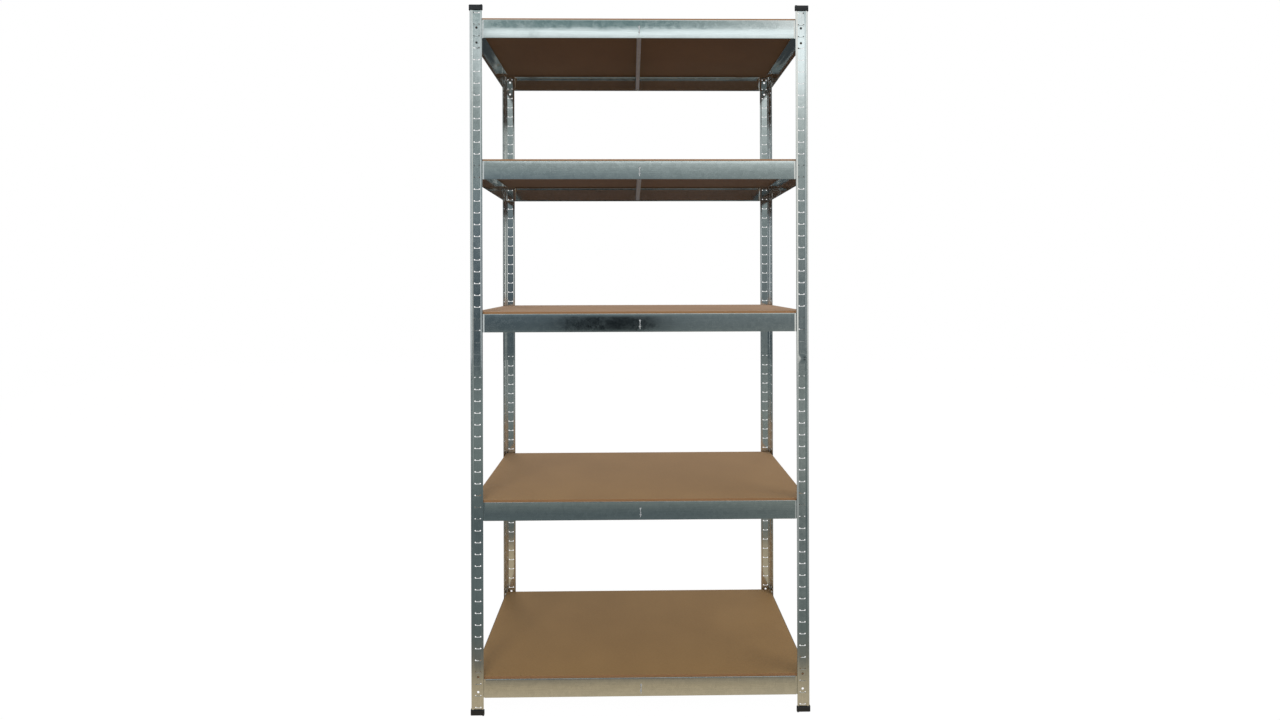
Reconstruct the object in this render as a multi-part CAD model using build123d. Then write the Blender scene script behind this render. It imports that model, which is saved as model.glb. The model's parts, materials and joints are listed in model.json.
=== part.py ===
from build123d import *
import os

# Boltless storage rack with five shelves. Four slotted corner posts stand on plastic feet. Sheet-steel
# beams hook into the posts' slots, a centre bar hooks into the beams under each board, and the
# fibreboard shelves lie loose on the beams' ledges.
# Frame: millimetres, +Z up, +X to the right, the front faces -Y. The origin is on the floor, at the
# middle of the rack's plan.

# The rack over the outer faces of its posts, and the steel sheet of every rolled piece
RACK_WIDTH = 865.0
RACK_DEPTH = 400.0
STEEL = 0.8
TOUCH_GAP = 0.1  # between surfaces that are hooked or pushed together
OVERRUN = 1.0  # how far a cutter runs past the faces that it cuts

# Post halves: two stand end to end at each corner
POST_HALF_LENGTH = 900.0
FLANGE = 32.0
POST_CORNER_RADIUS = 3.0
BAND_START = 6.5  # each flange has a sunk band, from here to BAND_END from the post's corner
BAND_END = 28.5
BAND_DEPTH = 0.9
BAND_RAMP = 1.2

# Slots of a post: two round lobes joined along their bottoms by a low link
SLOT_PITCH = 30.0
SLOTS_PER_HALF = 30
FIRST_SLOT = 15.0  # from a half's lower end to its first slot
SLOT_INSET = 18.0  # from the post's corner to the slot's centre
LOBE_RADIUS = 1.7
LOBE_OFFSET = 6.5
LINK_HEIGHT = 1.1

# Plain bolt holes near the top and the bottom of an assembled post
BOLT_HOLE_RADIUS = 3.0
BOLT_HOLES_FROM_END = (54.0, 92.0)

# Claws lanced out of a beam's end tab, and the windows that they leave
PRONG_WIDTH = 1.8
PRONG_DROP = 2.8
WINDOW_WIDTH = 17.0
WINDOW_HEIGHT = 6.0
BOLT_RELIEF_WIDTH = 7.0
BOLT_RELIEF_HEIGHT = 19.0

# Beams. Heights are from the lobes of the lower slot that a beam hooks into.
BEAM_HEIGHT = 47.0
BEAM_BELOW_SLOT = 5.3
LEDGE_DEPTH = 17.0  # from the beam's face to the inner edge of its ledge
LEDGE_LIP = 4.2
LIP_ABOVE_LEDGE = 3.0
BOTTOM_HEM = 4.0
BEND_RADIUS = 1.2
HEM_RADIUS = 0.7
JOGGLE_LENGTH = 4.3
JOGGLE_GAP = 0.2
TAB_INSET = 5.5  # from the post's corner to the end of a beam's tab
TAB_CORNER = 2.0
CLAW_SLOTS = (1, 16, 32, 45, 57)  # lower slot of each shelf, counted from the bottom of a post

# Centre bars: channels, open at the top, that hook into a slot at the middle of each long beam
BAR_WIDTH = 11.0
BAR_DEPTH = 39.5
BAR_LEDGE_GAP = 0.3
HOOK_SLOT_RADIUS = 2.5
HOOK_SLOT_TOP = 17.5  # below the beam's lip, as is the next
HOOK_SLOT_BOTTOM = 33.0
HOOK_SLOT_LINK = 2.2
HOOK_HEIGHT = 11.0
HOOK_DROP = 4.5
HOOK_THICKNESS = 1.6

# Shelf boards
BOARD_THICKNESS = 8.0
BOARD_EDGE_GAP = 4.0  # from the post's outer face to the board's edge

# Connectors inside the posts, across the joint between the two halves
CONNECTOR_LENGTH = 112.0
CONNECTOR_FLANGE = 27.0
CONNECTOR_CORNER_RADIUS = 1.4
CONNECTOR_SLOT = FIRST_SLOT + SLOT_PITCH * (SLOTS_PER_HALF - 2)  # in the lower half, from its lower end

# Plastic feet and top caps
CAP_BASE = 4.0
CAP_SLEEVE = 9.0
CAP_WALL = 1.5
CAP_BEAD_WIDTH = 4.5
CAP_BEAD_PROUD = 1.5
CAP_ROUND = 0.6

POST_FOOT = CAP_BASE  # height of the posts' lower ends
POST_TOP = POST_FOOT + 2 * POST_HALF_LENGTH
LIP_ABOVE_SLOT = BEAM_HEIGHT - BEAM_BELOW_SLOT
LEDGE_ABOVE_SLOT = LIP_ABOVE_SLOT - LIP_ABOVE_LEDGE
BAND_BACK = BAND_DEPTH + STEEL  # depth of the sunk band's inner face, which tabs and connectors lie on

SIDES = {"left": -1, "right": 1}
ENDS = {"front": -1, "rear": 1}


def slot_height(number):
    """Height of a slot's lobes above the floor, counted from 0 at the bottom of a post."""
    return POST_FOOT + FIRST_SLOT + number * SLOT_PITCH


def box(x_range, y_range, z_range):
    """A block between two corners."""
    (x0, x1), (y0, y1), (z0, z1) = x_range, y_range, z_range
    centre = Pos((x0 + x1) / 2, (y0 + y1) / 2, (z0 + z1) / 2)
    return centre * Box(x1 - x0, y1 - y0, z1 - z0)


def on_both_flanges(shape):
    """A feature of the flange along X and its twin on the flange along Y."""
    return [shape, mirror(shape, about=Plane(origin=(0, 0, 0), z_dir=(1, -1, 0)))]


def at_corner(shape, side, end):
    """Move a piece made at the origin, its flanges along +X and +Y, to a corner of the rack."""
    if side > 0:
        shape = mirror(shape, about=Plane.YZ)
    if end > 0:
        shape = mirror(shape, about=Plane.XZ)
    return Pos(side * RACK_WIDTH / 2, end * RACK_DEPTH / 2) * shape


def angle_outline(flange, thickness, corner_radius, inset=0.0):
    """Plan of a plain angle with a rounded corner, its outer faces inset from the X and Y axes."""
    outer = flange + inset
    inner = inset + thickness
    outline = Polyline(
        (inset, inset), (outer, inset), (outer, inner), (inner, inner), (inner, outer), (inset, outer),
        close=True,
    )
    return round_corner(make_face(outline), inset, inner, corner_radius)


def round_corner(face, outer, inner, radius):
    """Round an angle's bend: radius outside at (outer, outer), and less its thickness at (inner, inner)."""
    face = fillet(face.vertices().sort_by_distance((outer, outer))[0], radius)
    bend = face.vertices().sort_by_distance((inner, inner))[0]
    return fillet(bend, max(radius - (inner - outer), TOUCH_GAP))


# ---------------------------------------------------------------- posts

def post_outline():
    """Plan of a post: an angle whose flanges are rolled with a sunk band, which stiffens them."""
    ramp_in = [(BAND_START, 0), (BAND_START + BAND_RAMP, BAND_DEPTH)]
    ramp_out = [(BAND_END - BAND_RAMP, BAND_DEPTH), (BAND_END, 0)]
    profile = [*ramp_in, *ramp_out, (FLANGE, 0)]
    outside = profile
    inside = [(along, depth + STEEL) for along, depth in reversed(profile)]
    flange_x = outside + inside
    flange_y = [(depth, along) for along, depth in reversed(flange_x)]
    outline = Polyline((0, 0), *flange_x, (STEEL, STEEL), *flange_y, close=True)
    return round_corner(make_face(outline), 0, STEEL, POST_CORNER_RADIUS)


def slot_cutter(height):
    """Cutter for one slot of the flange along X."""
    lobes = [Pos(offset, 0) * Circle(LOBE_RADIUS) for offset in (-LOBE_OFFSET, LOBE_OFFSET)]
    link = Pos(0, LINK_HEIGHT / 2 - LOBE_RADIUS) * Rectangle(2 * LOBE_OFFSET, LINK_HEIGHT)
    outline = Plane.XZ * (link + lobes)
    return Pos(SLOT_INSET, 0, height) * extrude(outline, BAND_BACK + OVERRUN, both=True)


def bolt_hole_cutter(height):
    """Cutter for one plain hole of the flange along X."""
    outline = Plane.XZ * Circle(BOLT_HOLE_RADIUS)
    return Pos(SLOT_INSET, 0, height) * extrude(outline, BAND_BACK + OVERRUN, both=True)


def post_half(hole_heights):
    """A slotted angle standing on Z = 0, with plain holes at the heights given."""
    angle = extrude(post_outline(), POST_HALF_LENGTH)
    cutters = [slot_cutter(FIRST_SLOT + SLOT_PITCH * row) for row in range(SLOTS_PER_HALF)]
    cutters += [bolt_hole_cutter(height) for height in hole_heights]
    return angle - [twin for cutter in cutters for twin in on_both_flanges(cutter)]


# ---------------------------------------------------------------- claws

def claw():
    """Claw in a slot of the flange along X, at Z = 0: it lies in the link, and hooks down outside."""
    floor = -LOBE_RADIUS
    back = BAND_DEPTH - TOUCH_GAP
    stem = box(
        (SLOT_INSET - LOBE_OFFSET, SLOT_INSET + LOBE_OFFSET),
        (back - STEEL, BAND_BACK + STEEL),
        (floor, floor + STEEL),
    )
    prongs = [
        box(
            (centre - PRONG_WIDTH / 2, centre + PRONG_WIDTH / 2),
            (back - STEEL, back),
            (floor + STEEL - PRONG_DROP, floor + STEEL),
        )
        for centre in (SLOT_INSET - LOBE_OFFSET, SLOT_INSET + LOBE_OFFSET)
    ]
    return stem + prongs


def claw_window():
    """Opening that a claw leaves in its tab, above the claw's stem."""
    sill = STEEL - LOBE_RADIUS
    return box(
        (SLOT_INSET - WINDOW_WIDTH / 2, SLOT_INSET + WINDOW_WIDTH / 2),
        (BAND_BACK - STEEL / 2, BAND_BACK + STEEL + OVERRUN),
        (sill, sill + WINDOW_HEIGHT),
    )


# ---------------------------------------------------------------- beams

def beam_section():
    """Section across a beam, its face at X = 0 and inwards along X: hem, web, lip and ledge."""
    bottom = -BEAM_BELOW_SLOT
    lip = LIP_ABOVE_SLOT
    ledge = LEDGE_ABOVE_SLOT
    underside = ledge - STEEL
    outline = Polyline(
        (0, bottom), (2 * STEEL, bottom), (2 * STEEL, bottom + BOTTOM_HEM), (STEEL, bottom + BOTTOM_HEM),
        (STEEL, underside), (LEDGE_DEPTH - STEEL, underside), (LEDGE_DEPTH - STEEL, underside - LEDGE_LIP),
        (LEDGE_DEPTH, underside - LEDGE_LIP), (LEDGE_DEPTH, ledge), (2 * STEEL, ledge), (2 * STEEL, lip),
        (0, lip),
        close=True,
    )
    face = make_face(outline)
    for point, radius in (
        ((LEDGE_DEPTH, ledge), BEND_RADIUS),
        ((LEDGE_DEPTH - STEEL, underside), BEND_RADIUS - STEEL),
        ((0, lip), HEM_RADIUS),
        ((2 * STEEL, lip), HEM_RADIUS),
        ((0, bottom), HEM_RADIUS),
        ((2 * STEEL, bottom), HEM_RADIUS),
    ):
        face = fillet(face.vertices().sort_by_distance(point)[0], radius)
    return face


def beam_end():
    """Joggle and tab of a beam at the post whose corner is at the origin, flange along X."""
    flange_end = FLANGE + JOGGLE_GAP
    web_end = flange_end + JOGGLE_LENGTH
    inner = BAND_BACK + STEEL
    plan = Polyline(
        (TAB_INSET, BAND_BACK), (flange_end, BAND_BACK), (web_end, 0), (web_end, STEEL), (flange_end, inner),
        (TAB_INSET, inner),
        close=True,
    )
    tab = Pos(0, 0, -BEAM_BELOW_SLOT) * extrude(make_face(plan), BEAM_HEIGHT)
    tip_edges = tab.edges().filter_by(Axis.Y).group_by(Axis.X)[0]
    tab = chamfer(tip_edges, TAB_CORNER)
    windows = [Pos(0, 0, row * SLOT_PITCH) * claw_window() for row in (0, 1)]
    relief_outline = Plane.XZ * Rot(0, 0, 90) * SlotOverall(BOLT_RELIEF_HEIGHT, BOLT_RELIEF_WIDTH)
    relief = extrude(relief_outline, inner + OVERRUN, both=True)
    tab = tab - windows - Pos(SLOT_INSET, 0, SLOT_PITCH / 2) * relief
    return tab + [Pos(0, 0, row * SLOT_PITCH) * claw() for row in (0, 1)]


def hook_slot_cutter():
    """Upright slot at the middle of a long beam: two small lobes joined by a narrow link."""
    top = LIP_ABOVE_SLOT - HOOK_SLOT_TOP
    bottom = LIP_ABOVE_SLOT - HOOK_SLOT_BOTTOM
    lobes = [Pos(0, height) * Circle(HOOK_SLOT_RADIUS) for height in (top, bottom)]
    link = Pos(0, (top + bottom) / 2) * Rectangle(HOOK_SLOT_LINK, top - bottom)
    return extrude(Plane.XZ * (link + lobes), STEEL + OVERRUN, both=True)


def beam(span, has_hook_slot):
    """A beam along X between two posts whose corners are span apart, its face at Y = 0 facing -Y."""
    web_half = span / 2 - FLANGE - JOGGLE_GAP - JOGGLE_LENGTH
    section_plane = Plane(origin=(-web_half, 0, 0), x_dir=(0, 1, 0), z_dir=(1, 0, 0))
    body = extrude(section_plane * beam_section(), 2 * web_half)
    left_end = Pos(-span / 2, 0, 0) * beam_end()
    body = body + [left_end, mirror(left_end, about=Plane.YZ)]
    if has_hook_slot:
        body = body - hook_slot_cutter()
    return body


# ---------------------------------------------------------------- centre bars and boards

def centre_bar():
    """A channel along Y that carries the middle of a board, at the height of its beams' lower slot."""
    top = LEDGE_ABOVE_SLOT
    bottom = top - BAR_DEPTH
    end = RACK_DEPTH / 2 - STEEL - TOUCH_GAP
    notch_end = RACK_DEPTH / 2 - LEDGE_DEPTH - BAR_LEDGE_GAP
    notch_floor = top - STEEL - LEDGE_LIP - BAR_LEDGE_GAP
    half_width = BAR_WIDTH / 2
    bar = box((-half_width, half_width), (-end, end), (bottom, top))
    inner_half = half_width - STEEL
    inside = box((-inner_half, inner_half), (STEEL - end, end - STEEL), (bottom + STEEL, top + OVERRUN))
    notch = box((-BAR_WIDTH, BAR_WIDTH), (-RACK_DEPTH / 2, -notch_end), (notch_floor, top + OVERRUN))
    hook = centre_bar_hook(end)
    bar = bar - [inside, notch, mirror(notch, about=Plane.XZ)]
    return bar + [hook, mirror(hook, about=Plane.XZ)]


def centre_bar_hook(end):
    """Tongue from the front end of a centre bar, through the beam's slot and down its face."""
    face = -RACK_DEPTH / 2
    half = HOOK_THICKNESS / 2
    seat = LIP_ABOVE_SLOT - HOOK_SLOT_BOTTOM - (HOOK_SLOT_RADIUS**2 - half**2) ** 0.5
    front = face - TOUCH_GAP - STEEL
    top = seat + HOOK_HEIGHT
    tongue = box((-half, half), (front, STEEL / 2 - end), (seat, top))
    return tongue + box((-half, half), (front, face - TOUCH_GAP), (seat - HOOK_DROP, top))


def shelf_board():
    """A fibreboard shelf, lying on Z = 0."""
    width = RACK_WIDTH - 2 * BOARD_EDGE_GAP
    depth = RACK_DEPTH - 2 * BOARD_EDGE_GAP
    return Pos(0, 0, BOARD_THICKNESS / 2) * Box(width, depth, BOARD_THICKNESS)


# ---------------------------------------------------------------- connectors, feet and caps

def upward(shape):
    """Turn a claw, or its window, over: it then hooks up behind the tongue of a slot at Z = 0."""
    tongue = LINK_HEIGHT - LOBE_RADIUS
    return Pos(0, 0, tongue - LOBE_RADIUS) * mirror(shape, about=Plane.XY)


def post_connector():
    """Short angle inside a post, across the joint at Z = 0, with claws in the slots of both halves."""
    inset = BAND_BACK + TOUCH_GAP
    outline = angle_outline(CONNECTOR_FLANGE, STEEL, CONNECTOR_CORNER_RADIUS, inset)
    angle = Pos(0, 0, -CONNECTOR_LENGTH / 2) * extrude(outline, CONNECTOR_LENGTH)
    below = Pos(0, 0, CONNECTOR_SLOT - POST_HALF_LENGTH)
    above = Pos(0, 0, FIRST_SLOT + SLOT_PITCH)
    windows = [below * claw_window(), above * upward(claw_window())]
    claws = [below * claw(), above * upward(claw())]
    angle = angle - [twin for window in windows for twin in on_both_flanges(window)]
    return angle + [twin for hook in claws for twin in on_both_flanges(hook)]


def plastic_end():
    """A foot standing on Z = 0: a thick L-shaped base with a sleeve round the end of the post."""
    low = -CAP_WALL
    high = BAND_BACK + CAP_WALL
    tip = FLANGE + CAP_WALL
    height = CAP_BASE + CAP_SLEEVE
    points = [(low, low), (tip, low), (tip, high), (high, high), (high, tip), (low, tip)]
    body = extrude(make_face(Polyline(*points, close=True)), height)
    corner = body.edges().filter_by(Axis.Z).sort_by_distance((low, low, height / 2))[0]
    body = fillet(corner, POST_CORNER_RADIUS)
    bead = box((tip - CAP_BEAD_WIDTH, tip), (low - CAP_BEAD_PROUD, high), (0, height))
    body = body + on_both_flanges(bead)
    body = fillet(body.faces().sort_by(Axis.Z)[0].edges(), CAP_ROUND)
    slack = 2 * TOUCH_GAP
    pocket = angle_outline(FLANGE + slack, BAND_BACK + slack, POST_CORNER_RADIUS + TOUCH_GAP, -TOUCH_GAP)
    return body - Pos(0, 0, CAP_BASE) * extrude(pocket, CAP_SLEEVE + OVERRUN)


# ---------------------------------------------------------------- assembly

def main():
    """Build every piece once, put its copies in their places, and write one file for each."""
    lower_half = post_half(BOLT_HOLES_FROM_END)
    upper_half = post_half([POST_HALF_LENGTH - height for height in BOLT_HOLES_FROM_END])
    connector = post_connector()
    foot = plastic_end()
    cap = mirror(foot, about=Plane.XY)
    corner_pieces = {
        "foot": (foot, 0),
        "post_lower": (lower_half, POST_FOOT),
        "post_connector": (connector, POST_FOOT + POST_HALF_LENGTH),
        "post_upper": (upper_half, POST_FOOT + POST_HALF_LENGTH),
        "top_cap": (cap, POST_TOP + CAP_BASE),
    }
    long_beam = beam(RACK_WIDTH, has_hook_slot=True)
    short_beam = beam(RACK_DEPTH, has_hook_slot=False)
    bar = centre_bar()
    board = shelf_board()

    nodes = {}
    for name, (piece, height) in corner_pieces.items():
        for end_name, end in ENDS.items():
            for side_name, side in SIDES.items():
                nodes[f"{name}_{end_name}_{side_name}"] = Pos(0, 0, height) * at_corner(piece, side, end)

    for shelf, slot in enumerate(CLAW_SLOTS, start=1):
        level = Pos(0, 0, slot_height(slot))
        front = level * Pos(0, -RACK_DEPTH / 2, 0) * long_beam
        left = level * Pos(-RACK_WIDTH / 2, 0, 0) * Rot(0, 0, -90) * short_beam
        nodes[f"beam_front_{shelf}"] = front
        nodes[f"beam_rear_{shelf}"] = mirror(front, about=Plane.XZ)
        nodes[f"beam_left_{shelf}"] = left
        nodes[f"beam_right_{shelf}"] = mirror(left, about=Plane.YZ)
        nodes[f"centre_bar_{shelf}"] = level * bar
        nodes[f"shelf_board_{shelf}"] = level * Pos(0, 0, LEDGE_ABOVE_SLOT) * board

    os.makedirs("parts", exist_ok=True)
    for name, piece in nodes.items():
        export_step(piece, f"parts/{name}.step")


if __name__ == "__main__":
    main()
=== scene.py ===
import json
import math

import bpy
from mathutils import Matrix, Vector

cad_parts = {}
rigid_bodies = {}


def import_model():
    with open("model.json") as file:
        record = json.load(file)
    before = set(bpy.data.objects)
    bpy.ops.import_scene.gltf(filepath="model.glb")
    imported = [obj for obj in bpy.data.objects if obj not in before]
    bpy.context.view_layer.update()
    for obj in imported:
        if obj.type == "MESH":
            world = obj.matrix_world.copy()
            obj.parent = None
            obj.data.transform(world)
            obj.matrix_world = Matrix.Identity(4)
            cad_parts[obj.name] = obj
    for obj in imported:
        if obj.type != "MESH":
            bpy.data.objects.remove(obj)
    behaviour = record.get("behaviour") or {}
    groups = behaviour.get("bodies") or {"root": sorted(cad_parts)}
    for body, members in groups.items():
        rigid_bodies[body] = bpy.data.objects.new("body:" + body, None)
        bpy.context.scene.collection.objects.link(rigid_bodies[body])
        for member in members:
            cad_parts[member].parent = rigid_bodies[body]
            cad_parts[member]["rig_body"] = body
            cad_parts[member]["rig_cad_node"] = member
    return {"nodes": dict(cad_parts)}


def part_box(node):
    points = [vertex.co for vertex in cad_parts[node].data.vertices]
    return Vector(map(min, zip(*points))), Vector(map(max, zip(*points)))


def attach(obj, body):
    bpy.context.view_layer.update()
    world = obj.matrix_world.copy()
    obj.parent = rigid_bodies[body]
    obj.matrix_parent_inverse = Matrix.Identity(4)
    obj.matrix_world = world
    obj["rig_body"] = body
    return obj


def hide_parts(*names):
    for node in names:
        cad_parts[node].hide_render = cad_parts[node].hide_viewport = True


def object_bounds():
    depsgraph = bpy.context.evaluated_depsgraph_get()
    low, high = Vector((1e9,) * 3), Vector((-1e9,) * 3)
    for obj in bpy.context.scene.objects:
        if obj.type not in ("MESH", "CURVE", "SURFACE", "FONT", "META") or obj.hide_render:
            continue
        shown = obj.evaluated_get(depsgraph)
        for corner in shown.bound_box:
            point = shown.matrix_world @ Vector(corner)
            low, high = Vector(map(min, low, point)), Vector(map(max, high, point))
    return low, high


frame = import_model()
cad_low, cad_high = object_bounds()

# ---------------------------------------------------------------- view and studio
# The rack stands on a plain pale floor in a soft-lit room. The camera is close to it, level, a little
# above half its height, and looks almost squarely at its front.

CAMERA_HEIGHT = 1.104
CAMERA_DISTANCE = 1.434  # from the front of the posts
CAMERA_OFFSET = -0.0228  # to the left of the rack's middle
CAMERA_YAW = math.radians(-0.66)
CAMERA_ROLL = math.radians(0.16)
CAMERA_LENS = 15.8
CAMERA_SHIFT = (0.002, -0.0618)
WHITE = (1.0, 1.0, 1.0, 1.0)
BLACK = (0.0, 0.0, 0.0, 1.0)

post_low, post_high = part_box("post_lower_front_left")
scene = bpy.context.scene
scene.view_settings.view_transform = "Standard"


def deselect():
    bpy.ops.object.select_all(action="DESELECT")


deselect()
bpy.ops.object.camera_add(
    location=(CAMERA_OFFSET, post_low.y - CAMERA_DISTANCE, CAMERA_HEIGHT),
    rotation=(math.radians(90), CAMERA_ROLL, CAMERA_YAW),
)
camera = bpy.context.object
camera.name = "camera"
camera.data.lens = CAMERA_LENS
camera.data.shift_x, camera.data.shift_y = CAMERA_SHIFT
scene.camera = camera


def colour(code):
    """Linear colour of a six-digit sRGB code."""
    channels = [int(code[place:place + 2], 16) / 255 for place in (0, 2, 4)]
    return [((c + 0.055) / 1.055) ** 2.4 if c > 0.04045 else c / 12.92 for c in channels] + [1.0]


class Wire:
    """A socket in a node tree. Sums on wires add the Math nodes that work them out."""

    def __init__(self, tree, socket=None):
        self.tree = tree
        self.socket = socket

    def node(self, kind, settings=None, inputs=None, output=0):
        """Add a node with its settings, then its input values or wires, and return one output."""
        made = self.tree.nodes.new(kind)
        for key, value in (settings or {}).items():
            if key == "stops":
                ramp = made.color_ramp.elements
                while len(ramp) < len(value):
                    ramp.new(1.0)
                for element, (place, shade) in zip(ramp, value):
                    element.position = place
                    element.color = shade
            else:
                setattr(made, key, value)
        for key, value in (inputs or {}).items():
            self.feed(made.inputs[key], value)
        return Wire(self.tree, made.outputs[output])

    def feed(self, socket, value):
        """Set an input to a plain value, or link a wire to it."""
        if isinstance(value, Wire):
            self.tree.links.new(value.socket, socket)
        else:
            socket.default_value = value

    def math(self, operation, *values):
        return self.node("ShaderNodeMath", {"operation": operation}, dict(enumerate(values)))

    def __add__(self, other):
        return self.math("ADD", self, other)

    def __radd__(self, other):
        return self.math("ADD", other, self)

    def __sub__(self, other):
        return self.math("SUBTRACT", self, other)

    def __rsub__(self, other):
        return self.math("SUBTRACT", other, self)

    def __mul__(self, other):
        return self.math("MULTIPLY", self, other)

    def __rmul__(self, other):
        return self.math("MULTIPLY", other, self)

    def __truediv__(self, other):
        return self.math("DIVIDE", self, other)

    def __abs__(self):
        return self.math("ABSOLUTE", self)

    def most(self, other):
        return self.math("MAXIMUM", self, other)

    def ease(self, low, high, start=0.0, end=1.0):
        """Smooth change from start to end as the value goes from low to high."""
        return self.node(
            "ShaderNodeMapRange",
            {"interpolation_type": "SMOOTHSTEP"},
            {0: self, 1: low, 2: high, 3: start, 4: end},
        )

    def band(self, low, high, low_edge, high_edge):
        """1 from low to high, with an edge that eases in above low and one that eases out above high."""
        return self.ease(low, low + low_edge) * self.ease(high, high + high_edge, 1.0, 0.0)

    def ramp(self, low, high, stops):
        """Colour ramp from low to high whose stops are given as (value, colour code)."""
        spread = high - low
        shades = [((value - low) / spread, colour(code)) for value, code in stops]
        return self.node("ShaderNodeValToRGB", {"stops": shades}, {0: (self - low) / spread})

    def blend(self, first, second):
        """Mix of two colours by this value."""
        return self.node("ShaderNodeMix", {"data_type": "RGBA"}, {0: self, 6: first, 7: second}, output=2)

    def axes(self):
        """The three parts of a vector."""
        parts = self.node("ShaderNodeSeparateXYZ", None, {0: self})
        return [Wire(self.tree, socket) for socket in parts.socket.node.outputs]


def ray_kinds(tree):
    """Wires that are 1 on the camera's own rays, and 1 on the rays that polished metal mirrors."""
    outputs = tree.nodes.new("ShaderNodeLightPath").outputs
    return Wire(tree, outputs["Is Camera Ray"]), Wire(tree, outputs["Is Glossy Ray"])


# The room that polished metal mirrors. A direction in it is given by its rise, the slope up from eye
# level, and across, the slope to the right. In front of the rack it is dark at eye level and lighter
# above, with a dark figure, and high up a bright window under its shaded reveal.
LEFT_WALL = (
    (-0.1, "4a565b"), (0.0, "505d63"), (0.09, "68757b"), (0.18, "7f8d8e"),
    (0.3, "8f9a98"), (0.42, "a3adad"), (0.5, "c9d6d4"), (1.0, "c2ccca"),
)
RIGHT_WALL = (
    (-0.1, "6c7575"), (0.0, "707a7b"), (0.1, "828d8c"), (0.2, "95a09e"),
    (0.32, "c2ccc9"), (0.42, "eef3f2"), (0.5, "eaf0ee"), (1.0, "dbe1df"),
)
REAR_WALL = (
    (-0.2, "4c5355"), (0.0, "4f585a"), (0.3, "6c7576"), (0.6, "98a0a0"), (1.0, "c2c7c7"),
)
WINDOW_SILL = 0.30
WINDOW_HEAD = 0.447
WINDOW_SIDES = (-0.262, 0.38)
WINDOW_LIGHT = (1.08, 1.2, 1.2, 1.0)
REVEAL_TOP = 0.66
REVEAL_SIDE = 0.27
FIGURE_SIDES = (-0.15, 0.03)
SHARP_EDGE = 0.005

world = bpy.data.worlds.new("room")
world.use_nodes = True
scene.world = world
tree = world.node_tree
tree.nodes.clear()
start = Wire(tree)
seen, mirrored = ray_kinds(tree)
east, north, up = start.node("ShaderNodeTexCoord", output="Generated").axes()
depth = abs(north).most(abs(east)).most(0.001)
rise = up / depth
across = east / abs(north).most(0.001)
left_wall = rise.ramp(-1.0, 1.0, LEFT_WALL)
right_wall = rise.ramp(-1.0, 1.0, RIGHT_WALL)
walls = across.ease(-0.32, 0.36).blend(left_wall, right_wall)
window = rise.band(WINDOW_SILL, WINDOW_HEAD, 0.1, SHARP_EDGE) * across.band(*WINDOW_SIDES, 0.006, 0.04)
walls = window.blend(walls, WINDOW_LIGHT)
reveal = rise.band(WINDOW_HEAD, REVEAL_TOP, SHARP_EDGE, 0.14)
reveal = reveal * abs(across).ease(REVEAL_SIDE, REVEAL_SIDE + 0.01, 1.0, 0.0)
walls = (reveal * across.ease(0.0, 0.3, 1.0, 0.5)).blend(walls, colour("708888"))
figure = across.band(*FIGURE_SIDES, 0.05, 0.04) * rise.ease(-0.02, 0.06, 1.0, 0.0)
walls = (figure * 0.95).blend(walls, colour("0b1115"))
far_left = across.ease(-0.42, -0.34, 1.0, 0.0)
walls = (far_left * 0.9).blend(walls, colour("d6dcdc"))
far_right = across.ease(0.38, 0.5)
walls = (far_right * 0.85).blend(walls, colour("f2f1ea"))
walls = north.ease(-0.02, 0.02).blend(walls, rise.ramp(-1.0, 1.0, REAR_WALL))
ambient = up.ease(-0.2, 0.5, 0.12, 0.6)
sky = mirrored.blend(ambient.blend(BLACK, WHITE), walls)
sky = seen.blend(sky, WHITE)
backdrop = start.node("ShaderNodeBackground", None, {"Color": sky, "Strength": 1.0})
output = tree.nodes.new("ShaderNodeOutputWorld")
tree.links.new(backdrop.socket, output.inputs["Surface"])

# The floor: white where it is seen, with a soft contact shadow. In the metal it is warm near the rack
# and slate grey farther off. Its shades run from 0 at the rack's sides to 1 far away.
FLOOR_SIZE = 12.0
FLOOR_SHADES = (
    (0.05, "b6a88c"), (0.09, "aa9c80"), (0.16, "6f6d64"), (0.24, "5d6765"), (0.4, "626d6d"),
    (0.54, "535e60"), (0.65, "6f7976"), (0.76, "7a8584"), (0.86, "66706f"), (0.95, "55605f"),
)
FLOOR_BOUNCE = (0.215, 0.186, 0.225, 1.0)
FLOOR_LIGHT = 1.1
FLOOR_SEEN = 0.9  # the rest of it shows the contact shadow

bpy.ops.mesh.primitive_plane_add(size=FLOOR_SIZE, location=(0, 0, 0))
floor = bpy.context.object
floor.name = "studio_floor"
paint = bpy.data.materials.new("pale_floor")
paint.use_nodes = True
tree = paint.node_tree
tree.nodes.clear()
start = Wire(tree)
seen, mirrored = ray_kinds(tree)
east, north, up = start.node("ShaderNodeTexCoord", output="Object").axes()
away = (abs(east) - cad_high.x).most(abs(north) - cad_high.y).most(0.0)
floor_shade = (away / (away + 1.0)).ramp(0.0, 1.0, FLOOR_SHADES)
floor_shade = (east.ease(0.1, 0.9) * 0.3).blend(floor_shade, colour("8a9088"))
beside = (east - cad_high.x) / ((north + cad_high.y) * -1.0).most(0.05)
beside = beside.ease(0.3, 0.38) * north.ease(-0.9, -0.4, 1.0, 0.0)
floor_shade = (beside * 0.6).blend(floor_shade, colour("c2c4c0"))
behind = north.ease(0.3, 0.9)
floor_shade = (behind * 0.6).blend(floor_shade, colour("a49f95"))
far_behind = north.ease(1.4, 2.6)
floor_shade = (far_behind * 0.95).blend(floor_shade, colour("31383b"))
glow = start.node("ShaderNodeEmission", None, {"Color": floor_shade})
white = start.node("ShaderNodeEmission", None, {"Color": WHITE, "Strength": FLOOR_LIGHT})
matt = start.node("ShaderNodeBsdfDiffuse", None, {"Color": FLOOR_BOUNCE})
surface = start.node("ShaderNodeMixShader", None, {0: mirrored, 1: matt, 2: glow})
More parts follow.
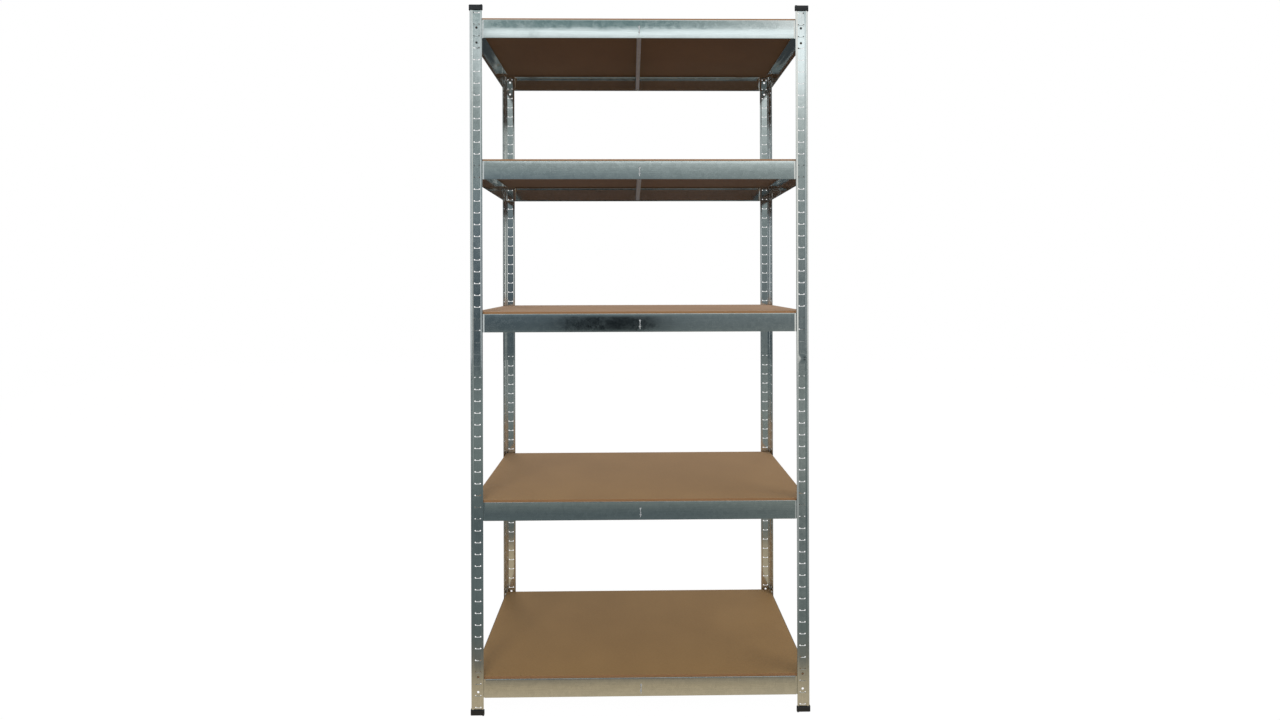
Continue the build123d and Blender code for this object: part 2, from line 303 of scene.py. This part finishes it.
surface = start.node("ShaderNodeMixShader", None, {0: seen * FLOOR_SEEN, 1: surface, 2: white})
output = tree.nodes.new("ShaderNodeOutputMaterial")
tree.links.new(surface.socket, output.inputs["Surface"])
floor.data.materials.append(paint)

# Soft lamps, which the metal doesn't mirror: it shows the room instead
LAMP_AIM = Vector((0, 0, 1.0))
for name, place, size, power in (
    ("lamp_front", (-0.9, -3.0, 2.9), 1.8, 55),
    ("lamp_right", (2.6, -1.2, 2.4), 1.4, 22),
    ("lamp_rear", (-1.4, 2.8, 2.6), 1.8, 40),
):
    bpy.ops.object.light_add(type="AREA", location=place)
    lamp = bpy.context.object
    lamp.name = name
    lamp.data.size = size
    lamp.data.energy = power
    lamp.rotation_euler = (LAMP_AIM - Vector(place)).to_track_quat("-Z", "Y").to_euler()
    lamp.visible_camera = False
    lamp.visible_glossy = False

# ---------------------------------------------------------------- posts
# Each corner post is two halves of galvanised steel angle. The strip is roll-formed with a sunk band
# along both flanges and a soft corner, and punched along the bands with a row of two-lobed slots.

SHEET = 0.0008
ROLLED_SHEET = SHEET * 0.98  # a hair under the gauge
FLANGE = 0.032
BAND = (0.0065, 0.0285)  # where the sunk band starts and ends, from the post's corner
BAND_DEPTH = 0.0009
BAND_RAMP = 0.0012
STRIP_FALL = 0.0003  # how far the strip by the corner leans back, from the band to the corner
CORNER_BEND = 0.0028
BAND_BEND = 0.0005
SLOT_PITCH = 0.030
SLOT_INSET = 0.018
LOBE_RADIUS = 0.0017
LOBE_OFFSET = 0.0065
LINK_HEIGHT = 0.0011
BOLT_RADIUS = 0.003
BOLTS_FROM_END = (0.054, 0.092)
PUNCH_REACH = 0.004  # how far a punch goes past the sheet on each side
POST_EDGE = 0.00012  # ease on the punched and sheared edges
SMOOTH_ANGLE = math.radians(38)
SHARP_ANGLE = math.radians(40)
NEAR = 1e-5  # places closer than this are the same
SPANGLE = 0.009
GRAIN_ALONG = 18  # fineness of the streaks along the strip and across it
GRAIN_ACROSS = 700
SIDES = {"left": -1, "right": 1}
ENDS = {"front": -1, "rear": 1}


def pick(piece, *others):
    """Make a piece the active one, selected alone or with some others."""
    deselect()
    for item in (*others, piece):
        item.select_set(True)
    bpy.context.view_layer.objects.active = piece


def pick_edges(piece, test):
    """In edit mode, select the edges whose two ends pass a test on their places."""
    bpy.ops.mesh.select_mode(type="EDGE")
    bpy.ops.mesh.select_all(action="DESELECT")
    bpy.ops.object.mode_set(mode="OBJECT")
    points = [vertex.co for vertex in piece.data.vertices]
    for edge in piece.data.edges:
        edge.select = all(test(points[corner]) for corner in edge.vertices)
    bpy.ops.object.mode_set(mode="EDIT")


def apply_modifier(piece, kind, **settings):
    """Add a modifier with its settings and apply it."""
    pick(piece)
    bpy.ops.object.modifier_add(type=kind)
    modifier = piece.modifiers[-1]
    for key, value in settings.items():
        setattr(modifier, key, value)
    bpy.ops.object.modifier_apply(modifier=modifier.name)


def roll_sheet(name, points, run, bends, front):
    """Roll a strip of sheet: trace its section, pull it along a run, round the bends, which are given
    as corners, size and segments, and thicken it away from its front."""
    deselect()
    bpy.ops.mesh.primitive_plane_add(size=SHEET)
    piece = bpy.context.object
    piece.name = name
    bpy.ops.object.mode_set(mode="EDIT")
    bpy.ops.mesh.select_mode(type="VERT")
    bpy.ops.mesh.select_all(action="SELECT")
    bpy.ops.mesh.merge(type="CENTER")
    bpy.ops.transform.translate(value=points[0])
    for start, end in zip(points, points[1:]):
        step = Vector(end) - Vector(start)
        bpy.ops.mesh.extrude_vertices_move(TRANSFORM_OT_translate={"value": step})
    bpy.ops.mesh.select_all(action="SELECT")
    bpy.ops.mesh.extrude_region_move(TRANSFORM_OT_translate={"value": run})
    line = Vector(run).normalized()
    for corners, size, segments in bends:
        folds = [Vector(corner) for corner in corners]

        def on_bend(point):
            gaps = [point - fold for fold in folds]
            return any((gap - line * gap.dot(line)).length < NEAR for gap in gaps)

        pick_edges(piece, on_bend)
        bpy.ops.mesh.bevel(offset=size, segments=segments, affect="EDGES", clamp_overlap=True)
    bpy.ops.mesh.select_all(action="SELECT")
    bpy.ops.mesh.normals_make_consistent(inside=False)
    bpy.ops.object.mode_set(mode="OBJECT")
    facing = sum(face.area * face.normal.dot(Vector(front)) for face in piece.data.polygons)
    away_from_front = -1.0 if facing > 0 else 1.0
    apply_modifier(piece, "SOLIDIFY", thickness=ROLLED_SHEET, offset=away_from_front, use_even_offset=True)
    outward(piece)
    return piece


def outward(piece):
    """Turn every face of a closed piece outwards."""
    pick(piece)
    bpy.ops.object.mode_set(mode="EDIT")
    bpy.ops.mesh.select_all(action="SELECT")
    bpy.ops.mesh.normals_make_consistent(inside=False)
    bpy.ops.object.mode_set(mode="OBJECT")


def rod(place, radius, length, axis, vertices=20):
    """A round cutter along an axis, X or Y."""
    turn = (0, math.radians(90), 0) if axis == "X" else (math.radians(90), 0, 0)
    bpy.ops.mesh.primitive_cylinder_add(
        vertices=vertices, radius=radius, depth=length, location=place, rotation=turn
    )
    return bpy.context.object


def settle(piece):
    """Put a piece's place, turn and scale into its mesh."""
    pick(piece)
    bpy.ops.object.transform_apply(location=True, rotation=True, scale=True)


def block(low, high):
    """A box between two corners."""
    bpy.ops.mesh.primitive_cube_add(size=1, location=(Vector(low) + Vector(high)) / 2)
    bpy.context.object.scale = Vector(high) - Vector(low)
    settle(bpy.context.object)
    return bpy.context.object


def cut(piece, cutter):
    """Punch a cutter out of a piece."""
    apply_modifier(piece, "BOOLEAN", object=cutter, operation="DIFFERENCE", solver="MANIFOLD")
    bpy.data.objects.remove(cutter)


def weld(piece, other):
    """Make a piece and another that overlaps it one closed piece."""
    apply_modifier(piece, "BOOLEAN", object=other, operation="UNION", solver="MANIFOLD")
    bpy.data.objects.remove(other)


def join(first, *others):
    """Join pieces into the first."""
    pick(first, *others)
    bpy.ops.object.join()
    return first


def finish_edges(piece, width, segments=1):
    """Ease the sharp edges that punching, cutting or moulding leaves, and shade the piece."""
    apply_modifier(
        piece, "BEVEL", width=width, segments=segments, limit_method="ANGLE", angle_limit=SHARP_ANGLE,
        use_clamp_overlap=False, harden_normals=False,
    )
    pick(piece)
    bpy.ops.object.shade_smooth_by_angle(angle=SMOOTH_ANGLE)
    apply_modifier(piece, "WEIGHTED_NORMAL", keep_sharp=True)


def copy_piece(piece, name, mirror_x=False, mirror_y=False, move=(0, 0, 0)):
    """A copy with its own mesh, mirrored and moved to its place, with its faces outward again."""
    pick(piece)
    bpy.ops.object.duplicate()
    twin = bpy.context.object
    twin.name = name
    twin.scale = (-1 if mirror_x else 1, -1 if mirror_y else 1, 1)
    twin.location = move
    bpy.ops.object.transform_apply(location=True, rotation=True, scale=True)
    if mirror_x != mirror_y:
        bpy.ops.object.mode_set(mode="EDIT")
        bpy.ops.mesh.select_all(action="SELECT")
        bpy.ops.mesh.flip_normals()
        bpy.ops.object.mode_set(mode="OBJECT")
    return twin


def hand_over(piece, material, body, slot, *nodes):
    """Give a piece its finish and its body, and hide the frame's nodes that it stands for."""
    piece.data.materials.clear()
    piece.data.materials.append(material)
    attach(piece, body)
    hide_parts(*nodes)


def new_material(name):
    """A material, its surface node and the wire of its object coordinates."""
    material = bpy.data.materials.new(name)
    material.use_nodes = True
    tree = material.node_tree
    place = Wire(tree, tree.nodes.new("ShaderNodeTexCoord").outputs["Object"])
    return material, tree.nodes["Principled BSDF"], place


def noise(place, scale, detail, roughness=0.5):
    """Cloudy noise at a place, with so many clouds to the metre."""
    inputs = {"Vector": place, "Scale": scale, "Detail": detail, "Roughness": roughness}
    return place.node("ShaderNodeTexNoise", None, inputs)


def stretch(place, scale):
    """A place scaled along each axis, so that a pattern on it runs along the piece."""
    return place.node("ShaderNodeMapping", None, {"Vector": place, "Scale": scale})


def raise_surface(surface, place, strength, distance, height):
    """Bump a surface by a height."""
    inputs = {"Strength": strength, "Distance": distance, "Height": height}
    place.feed(surface.inputs["Normal"], place.node("ShaderNodeBump", None, inputs))


def galvanised(name, grain, dullness=0.0, metallic=1.0):
    """Hot-dip zinc on rolled sheet: faint spangles, and streaks along the rolling direction."""
    material, surface, place = new_material(name)
    cells = {"Vector": place, "Scale": 1 / SPANGLE}
    spangle = place.node("ShaderNodeTexVoronoi", None, cells, output="Color").axes()[0]
    streaks = noise(stretch(place, grain), 1.0, 6.0, 0.6)
    smudge = noise(place, 16.0, 4.0).ease(0.52, 0.74)
    grit = noise(place, 420.0, 3.0)
    tone = 0.5 + (spangle - 0.5) * 0.2 + (streaks - 0.5) * 0.7 + (grit - 0.5) * 0.4 - smudge * 0.08
    shade = tone.blend((0.60, 0.625, 0.635, 1.0), (0.96, 0.975, 0.98, 1.0))
    place.feed(surface.inputs["Base Color"], shade)
    surface.inputs["Metallic"].default_value = metallic
    roughness = 0.07 + dullness + spangle * 0.04 + smudge * 0.05 + grit * 0.06
    place.feed(surface.inputs["Roughness"], roughness)
    swell = noise(place, 22.0, 1.0)
    raise_surface(surface, place, 1.0, 0.00017, swell + streaks * 0.06 + grit * 0.03)
    return material


half_length = post_high.z - post_low.z
post_steel = galvanised("galvanised_post", (GRAIN_ACROSS, GRAIN_ACROSS, GRAIN_ALONG))

# The section from one flange's tip, round the corner, to the other's, for the front left post
flange_line = [
    (FLANGE, 0),
    (BAND[1], 0),
    (BAND[1] - BAND_RAMP, BAND_DEPTH),
    (BAND[0] + BAND_RAMP, BAND_DEPTH),
    (BAND[0], 0),
]
tip_to_corner = [(along, depth, 0) for along, depth in flange_line]
corner_to_tip = [(depth, along, 0) for along, depth in reversed(flange_line)]
bend_points = tip_to_corner[1:] + corner_to_tip[:-1]
post_corner = (STRIP_FALL, STRIP_FALL, 0)
holes_from_bottom = {
    "lower": BOLTS_FROM_END,
    "upper": [half_length - height for height in BOLTS_FROM_END],
}
# For each flange: the axis a punch goes along, and a place on it from its inset and its height
flanges = (("Y", lambda inset, height: (inset, 0, height)), ("X", lambda inset, height: (0, inset, height)))
slot_height = SLOT_PITCH / 2
link_bottom = slot_height - LOBE_RADIUS
for half, holes in holes_from_bottom.items():
    angle = roll_sheet(
        f"post_{half}",
        [*tip_to_corner, post_corner, *corner_to_tip],
        (0, 0, half_length),
        [([post_corner], CORNER_BEND, 5), (bend_points, BAND_BEND, 2)],
        (-1, -1, 0),
    )
    punches = []
    for axis, spot in flanges:
        lobes = [
            rod(spot(SLOT_INSET + offset, slot_height), LOBE_RADIUS, 2 * PUNCH_REACH, axis)
            for offset in (-LOBE_OFFSET, LOBE_OFFSET)
        ]
        through = Vector((0, PUNCH_REACH, 0)) if axis == "Y" else Vector((PUNCH_REACH, 0, 0))
        slot = block(
            Vector(spot(SLOT_INSET - LOBE_OFFSET, link_bottom)) - through,
            Vector(spot(SLOT_INSET + LOBE_OFFSET, link_bottom + LINK_HEIGHT)) + through,
        )
        for lobe in lobes:
            weld(slot, lobe)
        apply_modifier(
            slot, "ARRAY", count=round(half_length / SLOT_PITCH), use_relative_offset=False,
            use_constant_offset=True, constant_offset_displace=(0, 0, SLOT_PITCH),
        )
        bolts = [rod(spot(SLOT_INSET, height), BOLT_RADIUS, 2 * PUNCH_REACH, axis, 28) for height in holes]
        punches += [slot, *bolts]
    cut(angle, join(punches[0], *punches[1:]))
    finish_edges(angle, POST_EDGE)
    base = post_low.z if half == "lower" else post_high.z
    for end_name, end in ENDS.items():
        for side_name, side in SIDES.items():
            node = f"post_{half}_{end_name}_{side_name}"
            place = (side * -post_low.x, end * -post_low.y, base)
            post = copy_piece(angle, f"rolled_{node}", side > 0, end > 0, place)
            hand_over(post, post_steel, "rack", "galvanised_steel", node)
    bpy.data.objects.remove(angle)

# ---------------------------------------------------------------- post connectors
# A short zinc-plated steel angle inside each post, across the joint between its two halves. Its claws
# hook into a slot of each half, and only its inner faces are seen.

cad_nodes = frame["nodes"]
for end_name in ENDS:
    for side_name in SIDES:
        connector = cad_nodes[f"post_connector_{end_name}_{side_name}"]
        connector.data.materials.clear()
        connector.data.materials.append(post_steel)

# ---------------------------------------------------------------- feet and top caps
# Black polypropylene mouldings pushed onto the ends of the posts. Each has a thick L-shaped plate, a
# thin sleeve round the flanges and a bead at each tip, with the soft edges and dull skin of a moulding.

MOULDED_EDGE = 0.0005

cap_plastic, surface, place = new_material("black_polypropylene")
grain = noise(place, 2600.0, 2.0)
flow = noise(place, 90.0, 3.0)
scuff = noise(place, 300.0, 5.0, 0.7).ease(0.56, 0.72)
shade = (flow * 0.6 + scuff * 0.5).blend(colour("14171b"), colour("2b2e33"))
place.feed(surface.inputs["Base Color"], shade)
place.feed(surface.inputs["Roughness"], 0.36 + flow * 0.16 + scuff * 0.2)
raise_surface(surface, place, 0.7, 0.00006, grain + flow * 0.8 - scuff * 0.5)


def merged_copy(node, name):
    """A copy of a frame node with its loose triangles merged into plain faces."""
    pick(cad_nodes[node])
    bpy.ops.object.duplicate()
    piece = bpy.context.object
    piece.name = name
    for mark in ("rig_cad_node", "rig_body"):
        if mark in piece:
            del piece[mark]
    piece.parent = None
    bpy.ops.object.mode_set(mode="EDIT")
    bpy.ops.mesh.select_all(action="SELECT")
    bpy.ops.mesh.remove_doubles(threshold=1e-6)
    bpy.ops.mesh.customdata_custom_splitnormals_clear()
    bpy.ops.mesh.dissolve_limited(angle_limit=math.radians(1))
    bpy.ops.mesh.normals_make_consistent(inside=False)
    bpy.ops.object.mode_set(mode="OBJECT")
    return piece


for kind in ("foot", "top_cap"):
    moulding = merged_copy(f"{kind}_front_left", f"{kind}_moulding")
    finish_edges(moulding, MOULDED_EDGE, 3)
    for end_name, end in ENDS.items():
        for side_name, side in SIDES.items():
            node = f"{kind}_{end_name}_{side_name}"
            twin = copy_piece(moulding, f"moulded_{node}", side > 0, end > 0)
            hand_over(twin, cap_plastic, "rack", "black_plastic", node)
    bpy.data.objects.remove(moulding)

# ---------------------------------------------------------------- beams
# Rolled from galvanised strip: a faintly crowned web with a hem at its bottom edge, a folded lip at
# its top and a ledge that carries the board. The ends are pressed back into tabs whose claws hook
# into the posts, and each long beam has a two-lobed slot for the centre bar.

CROWN = 0.0005  # how far the web's middle stands proud
CROWN_STEPS = 6
HEM = 0.004
LIP = 0.0042  # the ledge's turned-down edge
LIP_LEAN = 0.0004
LIP_ROLL = 0.0022  # height of the lip's leaning top
LEDGE_DEPTH = 0.017
LEDGE_BELOW_LIP = 0.003
FOLD_BEND = 0.00072
LEDGE_BEND = 0.0012
END_LENGTH = 0.0365  # from the post's corner to the web: tab and joggle
HOOK_LOBE = 0.0025
HOOK_LINK = 0.0022
HOOK_LOBES_BELOW_LIP = (0.0175, 0.033)
HOOK_PUNCH_REACH = 0.005
BEAM_EDGE = 0.0001


def rolled_beam(name, node, run_axis):
    """Beam from a frame node at the front or the left: a rolled middle between its two pressed ends."""
    low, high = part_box(node)
    face = post_low[1 - run_axis]
    outset = Vector((0, 1, 0)) if run_axis == 0 else Vector((1, 0, 0))
    along = Vector((1, 0, 0)) if run_axis == 0 else Vector((0, 1, 0))
    bottom, top = low.z, high.z
    ledge = top - LEDGE_BELOW_LIP
    start = along * (post_low[run_axis] + END_LENGTH)

    def at(depth, height):
        return start + outset * (face + depth) + Vector((0, 0, height))

    web_top = top - LIP_ROLL
    web = []
    for step in range(CROWN_STEPS + 1):
        share = step / CROWN_STEPS
        web.append(at(-CROWN * (1 - (2 * share - 1) ** 2), bottom + (web_top - bottom) * share))
    hem_end = at(2 * SHEET, bottom + HEM)
    hem_corner = at(2 * SHEET, bottom)
    lip_front = at(LIP_LEAN, top)
    lip_back = at(2 * SHEET, top)
    ledge_back = at(2 * SHEET, ledge)
    ledge_front = at(LEDGE_DEPTH, ledge)
    ledge_end = at(LEDGE_DEPTH, ledge - SHEET - LIP)
    section = [hem_end, hem_corner, *web, lip_front, lip_back, ledge_back, ledge_front, ledge_end]
    length = -2 * (post_low[run_axis] + END_LENGTH)
    piece = roll_sheet(
        name, section, along * length,
        [([hem_corner, web[0], lip_front, lip_back], FOLD_BEND, 4), ([ledge_front], LEDGE_BEND, 4)],
        -outset,
    )
    ends = merged_copy(node, "pressed_ends")
    middle = outset * face + Vector((0, 0, (bottom + top) / 2))
    clear_of_beam = (outset + Vector((0, 0, 1))) * 0.1
    half_cut = along * (length / 2) + clear_of_beam
    cut(ends, block(middle - half_cut, middle + half_cut))
    join(piece, ends)
    return piece


beam_steel = galvanised("galvanised_long_beam", (GRAIN_ALONG, GRAIN_ACROSS, GRAIN_ACROSS))
side_steel = galvanised("galvanised_short_beam", (GRAIN_ACROSS, GRAIN_ALONG, GRAIN_ACROSS))

long_beam = rolled_beam("long_beam", "beam_front_1", 0)
beam_low, beam_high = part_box("beam_front_1")
lobe_heights = [beam_high.z - drop for drop in HOOK_LOBES_BELOW_LIP]
link_corner = Vector((HOOK_LINK / 2, HOOK_PUNCH_REACH, 0))
upper_end, lower_end = (Vector((0, post_low.y, height)) for height in lobe_heights)
slot = block(lower_end - link_corner, upper_end + link_corner)
for lobe_centre in (upper_end, lower_end):
    weld(slot, rod(lobe_centre, HOOK_LOBE, 2 * HOOK_PUNCH_REACH, "Y", 24))
cut(long_beam, slot)
finish_edges(long_beam, BEAM_EDGE)
short_beam = rolled_beam("short_beam", "beam_left_1", 1)
finish_edges(short_beam, BEAM_EDGE)

shelves = range(1, 6)
for shelf in shelves:
    lift = (0, 0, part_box(f"beam_front_{shelf}")[0].z - beam_low.z)
    for end_name, end in ENDS.items():
        twin = copy_piece(long_beam, f"rolled_beam_{end_name}_{shelf}", False, end > 0, lift)
        hand_over(twin, beam_steel, "rack", "galvanised_steel", f"beam_{end_name}_{shelf}")
    for side_name, side in SIDES.items():
        twin = copy_piece(short_beam, f"rolled_beam_{side_name}_{shelf}", side > 0, False, lift)
        hand_over(twin, side_steel, "rack", "galvanised_steel", f"beam_{side_name}_{shelf}")
bpy.data.objects.remove(long_beam)
bpy.data.objects.remove(short_beam)

# ---------------------------------------------------------------- centre bars
# A narrow steel channel under the middle of each board, folded from galvanised strip with soft bends.
# A tongue at each end goes through the beam's slot and hooks down its face.

CHANNEL_BEND = 0.0012
BAR_DULLNESS = 0.38  # its zinc has weathered to a dull grey skin
BAR_METALLIC = 0.4

bar_steel = galvanised(
    "galvanised_centre_bar", (GRAIN_ACROSS, GRAIN_ALONG, GRAIN_ACROSS), BAR_DULLNESS, BAR_METALLIC
)
bar = merged_copy("centre_bar_1", "folded_bar")
bar_low, bar_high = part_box("centre_bar_1")
bpy.ops.object.mode_set(mode="EDIT")
pick_edges(bar, lambda point: abs(point.z - bar_low.z) < NEAR and abs(abs(point.x) - bar_high.x) < NEAR)
bpy.ops.mesh.bevel(offset=CHANNEL_BEND, segments=4, affect="EDGES", clamp_overlap=True)
bpy.ops.object.mode_set(mode="OBJECT")
finish_edges(bar, POST_EDGE)
for shelf in shelves:
    lift = (0, 0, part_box(f"centre_bar_{shelf}")[0].z - bar_low.z)
    twin = copy_piece(bar, f"folded_centre_bar_{shelf}", move=lift)
    hand_over(twin, bar_steel, "rack", "galvanised_steel", f"centre_bar_{shelf}")
bpy.data.objects.remove(bar)

# ---------------------------------------------------------------- shelf boards
# Loose 8 mm medium-density fibreboards, sawn to size and left raw: a smooth pressed skin with fine
# fibre flecks, and darker, fuzzier sawn edges with the arrises just rubbed off.

ARRIS = 0.0005

board_face, surface, place = new_material("raw_fibreboard")
flecks = noise(place, 1100.0, 5.0, 0.7)
fibre_place = stretch(place, (160, 900, 900))
fibres = noise(fibre_place, 1.0, 5.0, 0.65)
clouds = noise(place, 7.0, 5.0)
chips = place.node("ShaderNodeTexVoronoi", None, {"Vector": fibre_place, "Scale": 0.8}, output="Distance")
facing = place.node("ShaderNodeNewGeometry", output="Normal").axes()[2]
sawn = abs(facing).ease(0.4, 0.8, 1.0, 0.0)
tone = 0.5 + (flecks - 0.5) * 0.9 + (fibres - 0.5) * 0.8 + (clouds - 0.5) * 0.5
skin = tone.blend(colour("725630"), colour("9c7b4c"))
specks = chips.ease(0.0, 0.16, 0.55, 0.0)
skin = specks.blend(skin, colour("5d4229"))
edge = (flecks * 0.7 + fibres * 0.5).blend(colour("7c5a3c"), colour("b58a60"))
place.feed(surface.inputs["Base Color"], sawn.blend(skin, edge))
place.feed(surface.inputs["Roughness"], 0.42 + flecks * 0.2 + sawn * 0.2)
surface.inputs["Sheen Weight"].default_value = 0.5
surface.inputs["Sheen Roughness"].default_value = 0.4
surface.inputs["Sheen Tint"].default_value = colour("f0c8b2")
raise_surface(surface, place, 0.6, 0.00012, flecks * (0.4 + sawn * 2.0) + fibres * 0.5 - specks)

for shelf in shelves:
    low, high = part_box(f"shelf_board_{shelf}")
    board = block(low, high)
    board.name = f"sawn_shelf_board_{shelf}"
    bpy.ops.object.mode_set(mode="EDIT")
    bpy.ops.mesh.select_all(action="SELECT")
    bpy.ops.mesh.bevel(offset=ARRIS, segments=2, affect="EDGES")
    bpy.ops.object.mode_set(mode="OBJECT")
    bpy.ops.object.shade_smooth_by_angle(angle=SMOOTH_ANGLE)
    apply_modifier(board, "WEIGHTED_NORMAL", keep_sharp=True)
    hand_over(board, board_face, f"shelf_{shelf}", "fibreboard", f"shelf_board_{shelf}")
